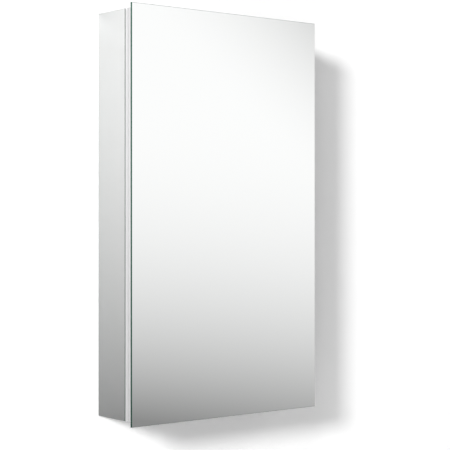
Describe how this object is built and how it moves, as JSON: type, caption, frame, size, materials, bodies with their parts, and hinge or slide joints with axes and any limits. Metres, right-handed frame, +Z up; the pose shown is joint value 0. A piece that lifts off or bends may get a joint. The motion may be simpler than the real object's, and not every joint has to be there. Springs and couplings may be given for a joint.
{
  "type": "medicine cabinet",
  "caption": "Wall-hung medicine cabinet with mirrored sides, glass shelves and a frameless mirror door that swings on a continuous hinge down its right side.",
  "frame": {"origin": "middle of the back, on the wall plane", "axes": "+X to the right seen from the front, +Y into the wall, +Z up; the door faces -Y"},
  "size_m": [0.381, 0.1048, 0.6604],
  "materials": {
    "mirror_glass": "silvered float glass with a polished, slightly green edge",
    "shelf_glass": "clear toughened glass, polished edges",
    "satin_aluminium": "satin anodised",
    "back_sheet": "mill finish sheet",
    "white_plastic": "moulded white",
    "clear_pad": "soft clear silicone",
    "foam_tape": "black foam tape",
    "backing": "foamed board",
    "stainless": "stainless, lightly brushed",
    "zinc_screw": "bright zinc plated",
    "magnet": "dark ferrite"
  },
  "bodies": {
    "cabinet": {"left_side_profile": "satin_aluminium", "right_side_profile": "satin_aluminium", "top_profile": "satin_aluminium", "bottom_profile": "satin_aluminium", "profile_end_plugs": "white_plastic", "frame_screws": "zinc_screw", "back_panel": "back_sheet", "back_panel_rivets": "zinc_screw", "back_mirror_tape": "foam_tape", "back_mirror": "mirror_glass", "wall_hole_bushes": "white_plastic", "left_side_mirror": "mirror_glass", "right_side_mirror": "mirror_glass", "left_side_mirror_tape": "foam_tape", "right_side_mirror_tape": "foam_tape", "shelf_lower": "shelf_glass", "shelf_middle": "shelf_glass", "shelf_upper": "shelf_glass", "shelf_pins_lower": "stainless", "shelf_pins_middle": "stainless", "shelf_pins_upper": "stainless", "shelf_pads": "clear_pad", "hinge_body_leaf": "stainless", "hinge_pin": "stainless", "hinge_body_screws": "zinc_screw", "catch_housings": "white_plastic", "catch_magnets": "magnet", "catch_screws": "zinc_screw"},
    "door": {"door_mirror": "mirror_glass", "door_mirror_tape": "foam_tape", "door_stile_free_side": "satin_aluminium", "door_stile_hinge_side": "satin_aluminium", "door_rail_top": "satin_aluminium", "door_rail_bottom": "satin_aluminium", "door_corner_keys": "zinc_screw", "door_backing_board": "backing", "door_inner_mirror": "mirror_glass", "door_inner_mirror_tape": "foam_tape", "door_bumpers": "clear_pad", "hinge_door_leaf": "stainless", "hinge_door_screws": "zinc_screw", "catch_strikes": "stainless", "strike_screws": "zinc_screw"}
  },
  "joints": [
    {"name": "door_hinge", "type": "hinge", "parent": "cabinet", "child": "door", "pos_m": [0.187, -0.08505, 0], "axis": [0, 0, 1], "range_deg": [0, 165]}
  ]
}
